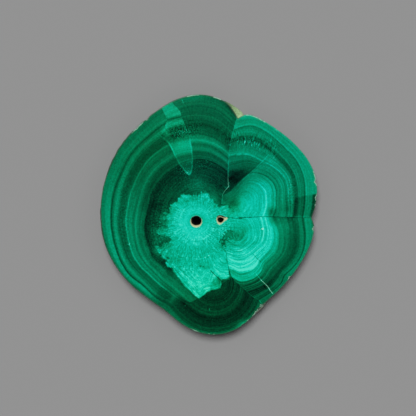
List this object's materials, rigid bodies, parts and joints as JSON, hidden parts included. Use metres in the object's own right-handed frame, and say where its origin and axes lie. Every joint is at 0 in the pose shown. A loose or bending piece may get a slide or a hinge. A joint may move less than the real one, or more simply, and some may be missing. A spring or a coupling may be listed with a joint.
{
  "type": "malachite stalactite slice",
  "caption": "Cross-cut slice of a banded malachite stalactite, polished on top and sawn flat behind, to lay flat for display or set in jewellery.",
  "frame": {"origin": "middle of the footprint, on the plane of the sawn back", "axes": "+Z out of the polished face, through the thickness; +Y along the longest way across the slice, towards its notch; +X to the right, seen with the polished face up"},
  "size_m": [0.0656, 0.0722, 0.006],
  "materials": {
    "malachite": "polished banded green face with a matt natural rind and a sawn back"
  },
  "bodies": {
    "root": {"slice": "malachite"}
  },
  "joints": []
}
